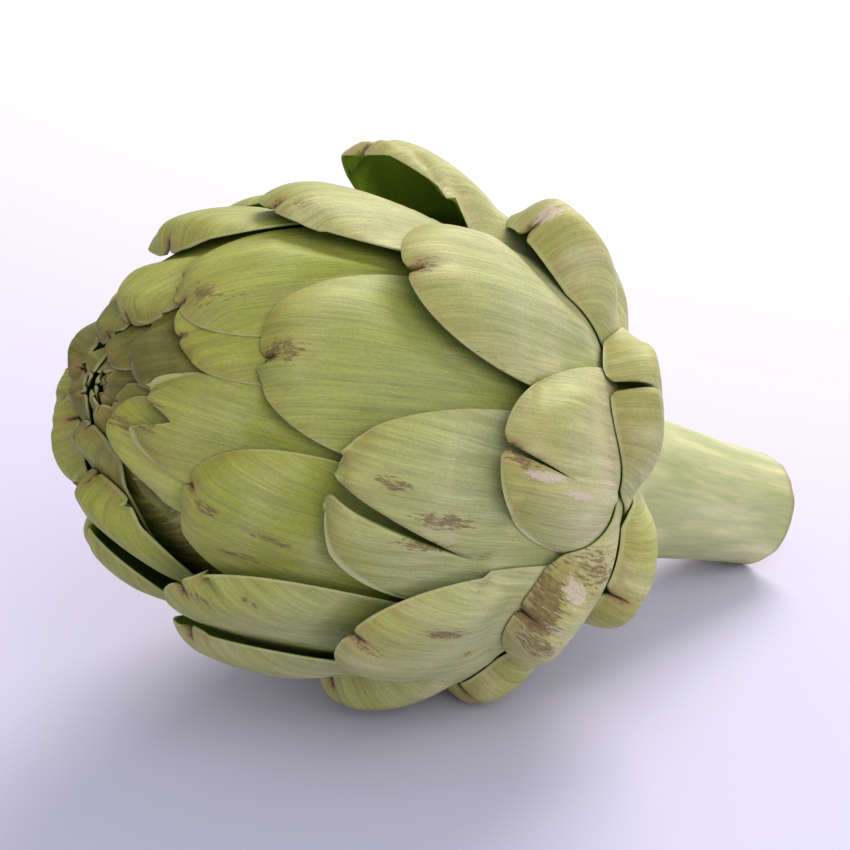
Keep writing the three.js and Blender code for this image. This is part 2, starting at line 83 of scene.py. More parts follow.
# One full-grown bract.
TIP_LENGTH = 40.0
TIP_LENGTH_SHARE = 0.85
TIP_POWER = 2.2
HALF_WIDTH = 21.0
WIDEST_SHARE_OF_RING = 0.62
ROOT_NARROWING = 0.58
FIRST_SIZE = 0.72
SIZE_GROWTH = 0.03
CROWN_SIZE = 0.25
FLESH = 2.4
FLESH_RUN_SHARE = 0.8
EDGE_THICKNESS = 0.6
THINNEST = 0.45
PILLOW = 3.6
CROWN_PILLOW_SHARE = 0.7
TIP_PILLOW_RUN = 10.0
SIDE_PILLOW_RUN = 17.0
COVER_RUN = 11.0
COVER_MARGIN = 3.0
EDGE_HUG = 6.0
EDGE_HUG_RUN = 9.0
REST_MARGIN = 0.8
REST_SLOPE = 0.3
TABLE_STEP = 1.0
TABLE_MARGIN = 4.0
DEEPEST_LAYERS = 14
ROOM_MARGIN = 2.0
ROOM_SLOPE = 0.5
LIFT_FADE = 8.0
LIFT_RUN = 25.0
LIFT_CURVE = 1.5
LIFT_ARCH = 0.45
FIRST_ROOT = 3.0
ROOT_SPACING = 0.75
RIM_ROUND = 0.3
THINNEST_RIM = 0.05

# The heart on top of the stem, and the closed middle of the bud.
ROOT_ROOM = FLESH + 0.5
ROOT_LEAD = 1.0
ROOT_CLEARANCE = 0.8
CROWN_HOLLOW = 3.2
CROWN_SINK = 2.2
CORE_CLEARANCE = 1.4
BUD_ROOT_LENGTH = 15.0
BUD_TIP_SHARE = 0.42

# The notch at a bract's tip, and the groove that runs on from it.
NOTCH_HALF_WIDTH = 0.3
NOTCH_DEPTH = 3.4
NOTCH_CORNER = 1.9
NOTCH_DIP = 1.1
SLIT_POWER = 0.8
GROOVE_DEPTH = 0.75
GROOVE_HALF_WIDTH = 1.2
GROOVE_LENGTH = 8.0

# The browned mark at a notch: where it starts, how it is drawn out lengthwise, and its radius.
MARK_START_SHARE = 0.7
MARK_STRETCH = 1.7
MARK_RADIUS = 1.5

# What sets single bracts apart: turn (degrees) and shift of the tip along the head, lift of the tip,
# its run, curve and arch, and the length, half width and slant of a tear.
PECULIAR = {
    1: dict(turn=-24, lift=5, lift_run=24),
    4: dict(turn=-18, shift=-2),
    6: dict(turn=-5, tear=8, tear_half=1.0, lift=1.5),
    9: dict(turn=-9, shift=2, lift=1),
    11: dict(turn=4, shift=7, lift=5, lift_run=46, lift_curve=0.7, lift_arch=1.05),
    12: dict(turn=-12, lift=1.2),
    14: dict(turn=-3, tear=15, tear_half=0.55, tear_slant=-0.26),
    16: dict(lift=8, lift_run=46, lift_curve=1.1, lift_arch=1.3, shift=3),
    17: dict(turn=-3, shift=-1.5, lift=1.5),
    19: dict(turn=2.5, lift=1.6),
    20: dict(turn=5, shift=-5),
    22: dict(shift=-2.5, tear=30, tear_half=1.5, tear_slant=-0.3, lift=2.2),
    24: dict(turn=4.6, shift=1, lift=1),
    25: dict(turn=-2.5, shift=-3, lift=1),
    27: dict(shift=-2),
    29: dict(turn=-5),
    30: dict(lift=0.5),
    33: dict(turn=120.5, tear=1.2, tear_half=0.2),
    34: dict(turn=-147.5, shift=-4.3, tear=8.5, tear_half=3.4),
    35: dict(turn=-28.5, shift=-7),
    36: dict(turn=-12),
    38: dict(turn=-47, shift=5.6, lift=3),
    39: dict(shift=2),
    42: dict(shift=3),
}

# Scars and pale corky marks of single bracts: across, back, half width, half length and strength.
SCARS = {
    9: [(4, 3, 9, 4, 0.9), (12, 12, 5, 9, 0.7), (-4, 5, 4, 5, 0.8)],
    14: [(-2.5, 5, 2, 5, 0.7), (6, 6, 4, 3, 0.3)],
    17: [(7, 15, 1.5, 6, 0.9), (0, 25, 1.2, 3, 0.6), (-1, 6, 2, 3, 0.6)],
    19: [(-16, 12, 4, 10, 0.4), (0, 5, 3, 3, 0.5)],
    22: [(-1.5, 22, 1.6, 7, 1.0), (3, 11, 1.6, 5, 0.8), (-6.5, 20, 1.4, 7, 0.9), (-8, 33, 2.5, 1.5, 0.7)],
    24: [(-4, 5, 3, 3, 0.5)],
    25: [(3, 5, 1.2, 4, 0.8), (9, 10, 1.2, 4, 0.7), (-1, 24, 1, 5, 0.5)],
    27: [(0.4, 7, 3, 3, 0.8), (1.5, 4, 2, 2, 0.7)],
    30: [(-0.7, 7, 1.2, 3, 0.9), (-1, 18, 1.0, 5, 0.8), (-7.5, 14, 1.2, 9, 0.7), (-6, 27, 1, 4, 0.6)],
    32: [(-2, 6, 3, 3, 0.8), (-4, 9, 1.5, 4, 0.5)],
    34: [(1.4, 5.5, 2, 2, 0.8), (-2, 5, 2, 3, 0.7)],
    35: [(0, 4, 1.5, 4, 0.8)],
}
CORKY = {
    9: [(8, 7, 3, 3, 0.9), (1, 6, 2, 3, 0.6)],
    14: [(-4.2, 9, 1.2, 6, 1.0), (-6.5, 18, 1.4, 6, 0.8)],
    11: [(0, 4, 2.5, 2.5, 1.0)],
    6: [(0, 5, 2, 3, 0.6)],
}

# The meshes: columns on each side of a blade's middle, and rows from its tip to its root.
BLADE_COLUMNS = 28
BLADE_ROWS = 60
CROWN_COLUMNS = 14
CROWN_ROWS = 26
ROW_CROWDING = 1.35
ROOT_CROWDING = 0.65
COLUMN_SPREAD = 1.15
STEM_SIDES = 120
CORE_SIDES = 64
CUT_RINGS = 14
CUT_FIRST_RING = 0.6
EDGE_RINGS = 6
STEM_RINGS = 60
STEM_FLARE = 1.2
HEART_RINGS = 24
HEART_CROWDING = 1.4
CORE_RINGS = 40
CORE_START, CORE_END = 0.03, 0.99
CORE_CROWDING = 1.1
CORE_START_INSET, CORE_START_RISE = 0.3, 0.35

# Each bract's patterns lie this far from the next one's, so that no two are alike.
SEED_STEP = 37.0

# Limits that keep the sums safe, and the steps that follow a direction down to the profile.
FAR_AWAY = 99.0
OPEN_RIM = 9.0
FLATTEST = 0.02
TINY = 1e-6
TINIEST = 1e-9
FOLLOW_STEPS = 5
FOLLOW_SHARE = 0.8


def clamp01(value):
    return np.clip(value, 0.0, 1.0)


def smooth(value):
    value = clamp01(value)
    return value * value * (3 - 2 * value)


def rise(value):
    return 1 - (1 - clamp01(value)) ** 2


def envelope_radius(polar):
    """The head's outer shape, as distance from its middle by the angle from the crown."""
    crown = polar < np.pi / 2
    depth = np.where(crown, CROWN_DEPTH, BASE_DEPTH)
    power = np.where(crown, CROWN_POWER, BASE_POWER)
    across = (np.sin(polar) / HEAD_RADIUS) ** power
    along = (np.abs(np.cos(polar)) / depth) ** power
    return (across + along) ** (-1 / power)


# The head's profile from the crown to the stem, as evenly turned stations.
POLARS = np.linspace(0, math.pi - math.atan2(STEM_TOP_RADIUS, WIDEST_HEIGHT), PROFILE_STEPS + 1)
RINGS = envelope_radius(POLARS) * np.sin(POLARS)
HEIGHTS = WIDEST_HEIGHT + envelope_radius(POLARS) * np.cos(POLARS)
RUNS = np.hypot(np.diff(RINGS), np.diff(HEIGHTS))
DISTANCES = np.concatenate([[0], np.cumsum(RUNS)])
PROFILE_LENGTH = DISTANCES[-1]


def station_at(distance):
    """Polar angle, ring, height and direction (outward, upward) of the profile at a distance."""
    low = np.clip(np.searchsorted(DISTANCES, distance) - 1, 0, PROFILE_STEPS - 1)
    share = (distance - DISTANCES[low]) / RUNS[low]

    def mix(values):
        return values[low] + (values[low + 1] - values[low]) * share

    outward = (RINGS[low + 1] - RINGS[low]) / RUNS[low]
    upward = (HEIGHTS[low + 1] - HEIGHTS[low]) / RUNS[low]
    return mix(POLARS), mix(RINGS), mix(HEIGHTS), outward, upward


def distance_at(polar):
    return np.interp(polar, POLARS, DISTANCES)


# The distance from the crown at which the tips begin to crowd.
CROWDED_DISTANCE = FIRST_TIP_DISTANCE - TIP_SPACING * (CROWDED_FROM - 1)


def tip_distance(number):
    if number <= CROWDED_FROM:
        return FIRST_TIP_DISTANCE - TIP_SPACING * (number - 1)
    past = number - CROWDED_FROM
    return CROWDED_DISTANCE * math.exp(-CROWDING * past - CROWDING_GROWTH * past * past)


def number_at(distance):
    """Which bract, as a fractional number, has its tip at this distance from the crown."""
    low = np.maximum(1, 1 + (FIRST_TIP_DISTANCE - distance) / TIP_SPACING)
    log_share = np.log(np.clip(distance, 0.05, CROWDED_DISTANCE) / CROWDED_DISTANCE)
    root = np.sqrt(CROWDING ** 2 - 4 * CROWDING_GROWTH * log_share)
    high = CROWDED_FROM + (root - CROWDING) / (2 * CROWDING_GROWTH)
    return np.where(distance >= CROWDED_DISTANCE, low, high)


def layer_depth(number):
    """Depth of a bract's layer below the lowest one."""
    past = np.maximum(number - CROWDED_FROM, 0)
    extra = (LAYER_STEP - CROWN_LAYER_STEP) * LAYER_THINNING
    crowded = CROWN_LAYER_STEP * past + extra * (1 - np.exp(-past / LAYER_THINNING))
    return LAYER_STEP * np.minimum(number, CROWDED_FROM) + crowded


def layer_step(number):
    return layer_depth(number + 0.5) - layer_depth(number - 0.5)


class Bract:
    """One bract of the spiral, with its sizes in millimetres."""

    def __init__(self, number):
        own = PECULIAR.get(number, {})
        self.number = number
        self.distance = tip_distance(number) + own.get("shift", 0)
        from_above = CROWN_SIZE + (1 - CROWN_SIZE) * self.distance / CROWDED_DISTANCE
        self.size = min(1, FIRST_SIZE + SIZE_GROWTH * number, from_above)
        self.length = PROFILE_LENGTH - FIRST_ROOT - ROOT_SPACING * (number - 1) - self.distance
        self.angle = math.radians(FIRST_TIP_ANGLE - GOLDEN_ANGLE * (number - 1) + own.get("turn", 0))
        self.tip_length = min(TIP_LENGTH * self.size, TIP_LENGTH_SHARE * self.length)
        self.half_width = HALF_WIDTH * self.size
        self.lift = own.get("lift", 0)
        self.lift_run = own.get("lift_run", LIFT_RUN)
        self.lift_curve = own.get("lift_curve", LIFT_CURVE)
        self.lift_arch = own.get("lift_arch", LIFT_ARCH)
        self.tear = own.get("tear", NOTCH_DEPTH * self.size)
        self.tear_half = own.get("tear_half", NOTCH_HALF_WIDTH * self.size)
        self.tear_slant = own.get("tear_slant", 0)
        if number > FREE_BRACTS:
            self.length = 2 * self.half_width + BUD_ROOT_LENGTH
            self.tip_length = min(self.tip_length, BUD_TIP_SHARE * self.length)

    def width_at(self, back):
        """Half width of the blade, below its rounded tip."""
        past = smooth((back - self.tip_length) / (self.length - self.tip_length))
        narrowed = self.half_width * (1 - ROOT_NARROWING * past)
        _, ring, height, _, _ = station_at(self.distance + back)
        return np.where(height > WIDEST_HEIGHT, narrowed, np.minimum(narrowed, WIDEST_SHARE_OF_RING * ring))

    def direction_on(self, back, across):
        """Direction from the head's middle to a place that far back from the tip and across."""
        _, ring, height, outward, upward = station_at(self.distance + back)
        cross_radius = ring / np.maximum(-upward, FLATTEST)
        angle = across / cross_radius
        inward = cross_radius * (np.cos(angle) - 1)
        x = ring - upward * inward
        y = cross_radius * np.sin(angle)
        z = height - WIDEST_HEIGHT + outward * inward
        c, s = math.cos(self.angle), math.sin(self.angle)
        direction = np.stack([x * c - y * s, x * s + y * c, z], -1)
        return direction / np.linalg.norm(direction, axis=-1, keepdims=True)

    def place_on(self, direction):
        """The reverse: how far back and across a direction lies."""
        polar = np.arccos(np.clip(direction[..., 2], -1, 1))
        radius = envelope_radius(polar)
        ring = radius * np.sin(polar)
        height = WIDEST_HEIGHT + radius * np.cos(polar)
        turn = np.arctan2(direction[..., 1], direction[..., 0]) - self.angle
        facing = ring * np.cos(turn)
        distance = distance_at(polar)
        _, own_ring, own_height, outward, upward = station_at(distance)
        for _ in range(FOLLOW_STEPS):
            error = (facing - own_ring) * outward + (height - own_height) * upward
            distance = np.clip(distance + FOLLOW_SHARE * error, 0, PROFILE_LENGTH)
            _, own_ring, own_height, outward, upward = station_at(distance)
        cross_radius = own_ring / np.maximum(-upward, FLATTEST)
        share = np.clip(ring * np.sin(turn) / np.maximum(cross_radius, TINY), -1, 1)
        across = np.where(np.cos(turn) < 0, FAR_AWAY, cross_radius * np.arcsin(share))
        return distance - self.distance, across

    def inside(self, back, across):
        """How far inside the blade's outline a place lies, and negative outside it."""
        side = np.abs(across)
        below = self.width_at(back) - side
        along = np.maximum(1 - back / self.tip_length, TINIEST)
        wide = side / self.half_width
        power = TIP_POWER - 1
        slope = TIP_POWER * np.hypot(along ** power / self.tip_length, wide ** power / self.half_width)
        tip = (1 - along ** TIP_POWER - wide ** TIP_POWER) / np.maximum(slope, TINY)
        return np.where(back >= self.tip_length, below, tip)


BRACTS = {number: Bract(number) for number in range(1, BUD_BRACTS + 1)}


def cover_over(bract, direction):
    """How far a place lies under the bracts outside this one, negative where it is open to view."""
    cover = np.full(direction.shape[:-1], -FAR_AWAY)
    for apart in NEIGHBOURS:
        outer = BRACTS.get(bract.number - apart)
        if outer:
            cover = np.maximum(cover, outer.inside(*outer.place_on(direction)))
    return cover


def table_places(bract):
    """The places back and across at which a bract's front is stored."""
    side = bract.half_width + TABLE_MARGIN
    backs = np.arange(-TABLE_MARGIN, bract.length + TABLE_MARGIN, TABLE_STEP)
    sides = np.arange(-side, side + TABLE_STEP, TABLE_STEP)
    return backs, sides


# The heights of the fronts of finished bracts on even grids, for the bracts outside them to lie on.
FRONTS = {}


def front_at(number, back, across):
    """Height of a finished bract's front, read between the stored places."""
    table, first_back, first_side = FRONTS[number]
    row = np.clip((back - first_back) / TABLE_STEP, 0, table.shape[0] - 1.001)
    column = np.clip((across - first_side) / TABLE_STEP, 0, table.shape[1] - 1.001)
    i, j = row.astype(int), column.astype(int)
    u, v = row - i, column - j
    near = table[i, j] * (1 - v) + table[i, j + 1] * v
    far = table[i + 1, j] * (1 - v) + table[i + 1, j + 1] * v
    return near * (1 - u) + far * u


def under(bract, direction):
    """The free depth under a place down to the next layer, and the height of what it can lie on."""
    own_depth = layer_depth(bract.number)
    room = np.full(direction.shape[:-1], float(layer_depth(bract.number + OPEN_LAYERS) - own_depth))
    rest = np.full(direction.shape[:-1], -FAR_AWAY)
    for apart in NEIGHBOURS:
        inner = BRACTS.get(bract.number + apart)
        if not inner:
            continue
        back, across = inner.place_on(direction)
        inside = inner.inside(back, across)
        outside = np.maximum(0, -ROOM_MARGIN - inside)
        room = np.minimum(room, layer_depth(inner.number) - own_depth + ROOM_SLOPE * outside)
        away = np.maximum(0, np.maximum(-REST_MARGIN - inside, back - inner.length))
        rest = np.maximum(rest, front_at(inner.number, back, across) - REST_SLOPE * away)
    return room, rest


def lift_at(bract, direction):
    """How far a bract stands off the head: by its own lift, or pushed out by a lifted one under it."""
    lift = np.zeros(direction.shape[:-1])
    for lifted in BRACTS.values():
        if not lifted.lift or lifted.number < bract.number:
            continue
        back, across = lifted.place_on(direction)
        arch = np.maximum(0, 1 - lifted.lift_arch * (across / lifted.half_width) ** 2)
        fade = np.minimum(1, clamp01(1 - back / lifted.lift_run) ** lifted.lift_curve)
        stand = lifted.lift * arch * fade
        if lifted is not bract:
            stand = stand * smooth(1 + lifted.inside(back, across) / LIFT_FADE)
        lift = np.maximum(lift, stand)
    return lift


def slit_opening(bract, back):
    """Half the width at which the notch or tear stands open."""
    return bract.tear_half * clamp01(1 - back / bract.tear) ** SLIT_POWER


def slit_middle(bract, back):
    """How far the middle line of the blade leans sideways to follow a slanting tear."""
    past = clamp01((back - bract.tear) / (bract.length - bract.tear))
    return bract.tear_slant * np.minimum(back, bract.tear) * (1 - smooth(past))


def heart_depth(distance):
    """Depth of the heart's side, just inside the roots of the bracts that grow there."""
    up = PROFILE_LENGTH - distance
    number = np.maximum(1, 1 + (up - FIRST_ROOT + ROOT_LEAD) / ROOT_SPACING)
    layers = layer_depth(number) - layer_depth(number_at(distance))
    return layers + ROOT_ROOM * smooth(up / (FIRST_ROOT - ROOT_CLEARANCE))


# Where the heart ends and the core of the bud begins, as a distance from the crown.
HEART_TOP_DISTANCE = PROFILE_LENGTH - FIRST_ROOT - ROOT_SPACING * FREE_BRACTS


def blade_heights(bract, direction, back, inside):
    """Front height and thickness of a blade. Its edges come down onto what lies under them."""
    polar = np.arccos(np.clip(direction[..., 2], -1, 1))
    shell = envelope_radius(polar)
    distance = distance_at(polar)
    depth = layer_depth(bract.number) - layer_depth(number_at(distance))
    cover = cover_over(bract, direction)
    open_share = clamp01(-(cover + COVER_MARGIN * bract.size) / (COVER_RUN * bract.size))
    height = PILLOW * (CROWN_PILLOW_SHARE + (1 - CROWN_PILLOW_SHARE) * bract.size)
    sideways = smooth(back / bract.tip_length)
    run = bract.size * (TIP_PILLOW_RUN + (SIDE_PILLOW_RUN - TIP_PILLOW_RUN) * sideways)
    pillow = height * rise(inside / run) * rise(open_share)
    flesh = max(EDGE_THICKNESS, FLESH * layer_step(bract.number) / LAYER_STEP)
    fleshy = EDGE_THICKNESS + (flesh - EDGE_THICKNESS) * rise(inside / (FLESH_RUN_SHARE * bract.half_width))
    room, rest = under(bract, direction)
    free = room - BRACT_GAP - HIDDEN_GAP * clamp01(cover / HIDDEN_GAP_RUN)
    thickness = np.maximum(THINNEST, np.minimum(fleshy, free))
    sink = CROWN_SINK * smooth(back / bract.length) if bract.number > FREE_BRACTS else 0
    front = shell - depth + pillow + lift_at(bract, direction) - sink
    deepest = depth + layer_depth(bract.number + DEEPEST_LAYERS) - layer_depth(bract.number)
    heart = np.where(distance > HEART_TOP_DISTANCE, heart_depth(distance), deepest)
    rest = np.maximum(rest, shell - np.minimum(deepest, heart))
    gap = front - thickness - BRACT_GAP - rest
    hug = np.clip(gap, 0, EDGE_HUG) * (1 - rise(inside / (EDGE_HUG_RUN * bract.size)))
    return front - hug, thickness


def fill_fronts():
    """Works out the front of every bract from the innermost one outwards."""
    for number in sorted(BRACTS, reverse=True):
        bract = BRACTS[number]
        backs, sides = table_places(bract)
        back, across = np.meshgrid(backs, sides, indexing="ij")
        width = np.where(back < bract.tip_length, bract.half_width, bract.width_at(back))
        inside = np.maximum(0, np.minimum(bract.inside(back, across), width - np.abs(across)))
        table, _ = blade_heights(bract, bract.direction_on(back, across), back, inside)
        FRONTS[number] = table, backs[0], sides[0]


def blade_layers(bract, back, across, inside, rim, beside):
    """Front and back points of a blade."""
    direction = bract.direction_on(back, across)
    front, thickness = blade_heights(bract, direction, back, inside)
    groove = GROOVE_DEPTH * bract.size * np.exp(-(beside / GROOVE_HALF_WIDTH) ** 2)
    groove = groove * smooth(1 - (back - min(bract.tear, 2 * NOTCH_DEPTH)) / GROOVE_LENGTH)
    front = front - groove
    rounding = RIM_ROUND * (1 - np.sqrt(clamp01(1 - clamp01(1 - rim / RIM_ROUND) ** 2)))
    outer = front - rounding
    inner = np.minimum(front - thickness + rounding, outer - THINNEST_RIM)
    middle = np.array([0, 0, WIDEST_HEIGHT])
    return direction * outer[..., None] + middle, direction * inner[..., None] + middle


def row_share(share):
    """Spreads a blade's rows, closer at its tip."""
    eased = ROOT_CROWDING * (1 - np.cos(np.pi * share)) / 2
    return eased + (1 - ROOT_CROWDING) * share ** ROW_CROWDING


def reach_down():
    """How far the head's outer shape reaches below its middle when it lies down."""
    return np.max(RINGS * math.cos(AXIS_LIFT) - HEIGHTS * math.sin(AXIS_LIFT))


LAID_DOWN = Matrix.Rotation(AXIS_LIFT - math.pi / 2, 4, "Y")
LAID_DOWN.translation = (BASE_X, 0, reach_down() - FLAT_SINK)


def lay_down(points):
    """Points of the upright head, in metres where the head lies, and none below the ground."""
    matrix = np.array(LAID_DOWN)
    laid = points @ matrix[:3, :3].T + matrix[:3, 3]
    laid[:, 2] = np.maximum(laid[:, 2], 0)
    return laid * MM


def marked(marks, across, back):
    """How strongly single marks show at each place of a blade."""
    strength = np.zeros(across.shape)
    for middle, start, wide, long, most in marks:
        away = ((across - middle) / wide) ** 2 + ((back - start) / long) ** 2
        strength = np.maximum(strength, most * np.exp(-away))
    return strength


def blade_mesh(bract, columns, rows):
    """A blade as vertices, faces and the values that its finish follows, closed all round."""
    shares = np.sin(np.pi / 2 * np.linspace(0, 1, columns + 1) ** COLUMN_SPREAD)
    share = np.concatenate([shares[::-1], shares])
    lobe = np.concatenate([-np.ones(columns + 1), np.ones(columns + 1)])
    roundness = np.maximum(0, 1 - share ** TIP_POWER) ** (1 / TIP_POWER)
    corner = NOTCH_DIP * bract.size * (1 - rise(share * bract.half_width / (NOTCH_CORNER * bract.size)))
    start = bract.tip_length * (1 - roundness) + corner
    along = row_share(np.linspace(0, 1, rows + 1))[:, None]
    back = start[None, :] + (bract.length - start[None, :]) * along
    opening = slit_opening(bract, back)
    width = np.where(back < bract.tip_length, bract.half_width, bract.width_at(back))
    middle = slit_middle(bract, back)
    across = lobe * (opening + (bract.width_at(back) - opening) * share) + middle * (1 - share)
    inside = np.maximum(0, np.minimum(bract.inside(back, across), width - np.abs(across)))
    beside = across - middle
    past_slit = np.hypot(beside, np.maximum(0, back - bract.tear))
    slit = np.where(back < bract.tear, np.abs(beside) - opening, past_slit)
    rim = np.minimum(inside, np.maximum(slit, 0))
    front, rear = blade_layers(bract, back, across, inside, rim, beside)

    count = (rows + 1) * 2 * (columns + 1)
    ids = np.arange(count).reshape(rows + 1, -1)
    joined = back[:, columns] >= bract.tear
    ids[joined, columns + 1] = ids[joined, columns]
    a, b = ids[:-1, :-1], ids[:-1, 1:]
    d, c = ids[1:, :-1], ids[1:, 1:]
    keep = np.ones(a.shape, bool)
    keep[:, columns] = False
    quads = np.stack([a[keep], d[keep], c[keep], b[keep]], -1)
    last_open = int(np.argmax(joined))
    outline = list(ids[::-1, 0]) + list(ids[0, 1:columns + 1]) + list(ids[1:last_open + 1, columns])
    outline += list(ids[last_open - 1::-1, columns + 1]) + list(ids[0, columns + 2:])
    outline += list(ids[1:, -1]) + list(ids[-1, -2:0:-1])
    ring = [one for one, after in zip(outline, outline[1:] + outline[:1]) if one != after]
    rims = [(p, q, q + count, p + count) for p, q in zip(ring, ring[1:] + ring[:1])]
    faces = [*map(tuple, quads), *map(tuple, quads[:, ::-1] + count), *rims]

    fan = across * bract.half_width / width
    place = np.stack([fan, back, np.full(back.shape, SEED_STEP * bract.number)], -1)
    reach = np.maximum(0, back - MARK_START_SHARE * NOTCH_DEPTH * bract.size) / MARK_STRETCH
    notch = np.exp(-(np.hypot(beside, reach) / (MARK_RADIUS * bract.size)) ** 2)
    values = {"rim": rim, "notch": notch, "inner": np.zeros(back.shape),
              "scar": marked(SCARS.get(bract.number, ()), across, back),
              "cork": marked(CORKY.get(bract.number, ()), across, back)}
    points = np.concatenate([front.reshape(-1, 3), rear.reshape(-1, 3)])
    places = np.concatenate([place.reshape(-1, 3)] * 2)
    fields = {name: np.concatenate([value.ravel()] * 2) for name, value in values.items()}
    fields["inner"][count:] = 1
    return points, faces, places, fields


def make_object(name, parts):
    """One mesh object from parts of (points, faces, places, fields), laid down where the head lies."""
    points = np.concatenate([part[0] for part in parts])
    starts = np.cumsum([0] + [len(part[0]) for part in parts])
    faces = [tuple(int(v) + start for v in face) for part, start in zip(parts, starts) for face in part[1]]
    mesh = bpy.data.meshes.new(name)
    mesh.from_pydata(lay_down(points), [], faces)
    places = mesh.attributes.new("place", "FLOAT_VECTOR", "POINT")
    places.data.foreach_set("vector", np.concatenate([part[2] for part in parts]).ravel())
    for field in parts[0][3]:
        layer = mesh.attributes.new(field, "FLOAT", "POINT")
        layer.data.foreach_set("value", np.concatenate([part[3][field] for part in parts]))
    shape = bmesh.new()
    shape.from_mesh(mesh)
    loose = [vertex for vertex in shape.verts if not vertex.link_faces]
    bmesh.ops.delete(shape, geom=loose, context="VERTS")
    bmesh.ops.recalc_face_normals(shape, faces=shape.faces)
    shape.to_mesh(mesh)
    shape.free()
    mesh.shade_smooth()
    piece = bpy.data.objects.new(name, mesh)
    bpy.context.scene.collection.objects.link(piece)
    return piece


def point_below(distance, depth):
    """A point at a depth below the head's outer shape, as radius and height."""
    polar = station_at(distance)[0]
    radius = envelope_radius(polar) - depth
    return radius * np.sin(polar), WIDEST_HEIGHT + radius * np.cos(polar)


# How far the core stays under the innermost free bracts.
CORE_ROOM = CORE_CLEARANCE + FLESH * layer_step(FREE_BRACTS) / LAYER_STEP


def turned_part(radii, heights, sides):
    """A shape turned round the head's axis, closed at both ends on the axis."""
    rings = len(radii)
    angles = 2 * np.pi * np.arange(sides) / sides
    x = np.outer(radii, np.cos(angles))
    y = np.outer(radii, np.sin(angles))
    z = np.repeat(heights[:, None], sides, 1)
    points = np.stack([x, y, z], -1).reshape(-1, 3)
    ends = np.array([[0, 0, heights[0]], [0, 0, heights[-1]]])
    faces = []
    for side in range(sides):
        after = (side + 1) % sides
        for ring in range(rings - 1):
            low, high = ring * sides, (ring + 1) * sides
            faces.append((low + side, low + after, high + after, high + side))
        faces.append((rings * sides, after, side))
        faces.append((rings * sides + 1, (rings - 1) * sides + side, (rings - 1) * sides + after))
    places = np.concatenate([points, ends])
    flat = np.zeros(len(places))
    fields = {"rim": flat + OPEN_RIM, "notch": flat, "inner": flat, "scar": flat, "cork": flat}
    return places, faces, places, fields


def stem_part():
    """The stem from its cut end up, with the heart on top of it."""
    face = np.linspace(CUT_FIRST_RING, STEM_CUT_RADIUS - STEM_EDGE, CUT_RINGS)
    turn = np.linspace(0, np.pi / 2, EDGE_RINGS + 1)[1:]
    edge_radii = STEM_CUT_RADIUS - STEM_EDGE + STEM_EDGE * np.sin(turn)
    edge_heights = STEM_EDGE * (1 - np.cos(turn)) - STEM_LENGTH
    share = np.linspace(0, 1, STEM_RINGS)[1:-1]
    side_radii = STEM_CUT_RADIUS + (STEM_TOP_RADIUS - STEM_CUT_RADIUS) * share ** STEM_FLARE
    side_heights = STEM_EDGE - STEM_LENGTH + (STEM_LENGTH - STEM_EDGE) * share
    up = np.linspace(0, 1, HEART_RINGS) ** HEART_CROWDING
    distance = PROFILE_LENGTH + (HEART_TOP_DISTANCE - PROFILE_LENGTH) * up
    heart_radii, heart_heights = point_below(distance, heart_depth(distance))
    radii = np.concatenate([face, edge_radii, side_radii, heart_radii])
    heights = np.concatenate([np.full(len(face), -STEM_LENGTH), edge_heights, side_heights, heart_heights])
    return turned_part(radii, heights, STEM_SIDES)


def crown_parts():
    """The closed middle of the bud: a core with the small crown bracts standing out of it."""
    start_radius, start_height = point_below(HEART_TOP_DISTANCE, heart_depth(HEART_TOP_DISTANCE))
    distance = HEART_TOP_DISTANCE * (1 - np.linspace(CORE_START, CORE_END, CORE_RINGS)) ** CORE_CROWDING
    layers = layer_depth(FREE_BRACTS + 1) - layer_depth(number_at(distance))
    radii, heights = point_below(distance, np.maximum(CROWN_HOLLOW, layers) + CORE_ROOM)
    radii = np.concatenate([[start_radius - CORE_START_INSET], radii])
    heights = np.concatenate([[start_height + CORE_START_RISE], heights])
    parts = [turned_part(radii, heights, CORE_SIDES)]
    for number in range(FREE_BRACTS + 1, BUD_BRACTS + 1):
        parts.append(blade_mesh(BRACTS[number], CROWN_COLUMNS, CROWN_ROWS))
    return parts


def node(tree, kind, inputs=None, **settings):
    """A node with its settings, and its inputs set to values or linked to other nodes' outputs."""
    made = tree.nodes.new(kind)
    for name, value in settings.items():
        setattr(made, name, value)
    for name, value in (inputs or {}).items():
        if isinstance(value, bpy.types.NodeSocket):
            tree.links.new(value, made.inputs[name])
        else:
            made.inputs[name].default_value = value
    return made


def maths(tree, operation, *values):
    return node(tree, "ShaderNodeMath", dict(enumerate(values)), operation=operation).outputs[0]


def ramp(tree, value, low, high, start=0.0, end=1.0):
    """A value eased from start to end while the input goes from low to high."""
    inputs = {"Value": value, "From Min": low, "From Max": high, "To Min": start, "To Max": end}
    return node(tree, "ShaderNodeMapRange", inputs, interpolation_type="SMOOTHSTEP").outputs["Result"]


def blend(tree, share, first, second, mode="MIX"):
    made = node(tree, "ShaderNodeMix", data_type="RGBA", blend_type=mode)
    for index, value in ((0, share), (6, first), (7, second)):
        if isinstance(value, bpy.types.NodeSocket):
            tree.links.new(value, made.inputs[index])
        else:
            made.inputs[index].default_value = value
    return made.outputs[2]


def noise(tree, vector, scale, detail=2.0, roughness=0.5):
    inputs = {"Vector": vector, "Scale": scale, "Detail": detail, "Roughness": roughness}
    return node(tree, "ShaderNodeTexNoise", inputs).outputs["Fac"]


def scaled(tree, vector, factors):
    inputs = {0: vector, 1: factors}
    return node(tree, "ShaderNodeVectorMath", inputs, operation="MULTIPLY").outputs[0]


def group(tree, shared, inputs):
    return node(tree, "ShaderNodeGroup", inputs, node_tree=shared)


def value_of(tree, name):
    return node(tree, "ShaderNodeAttribute", attribute_name=name).outputs["Fac"]


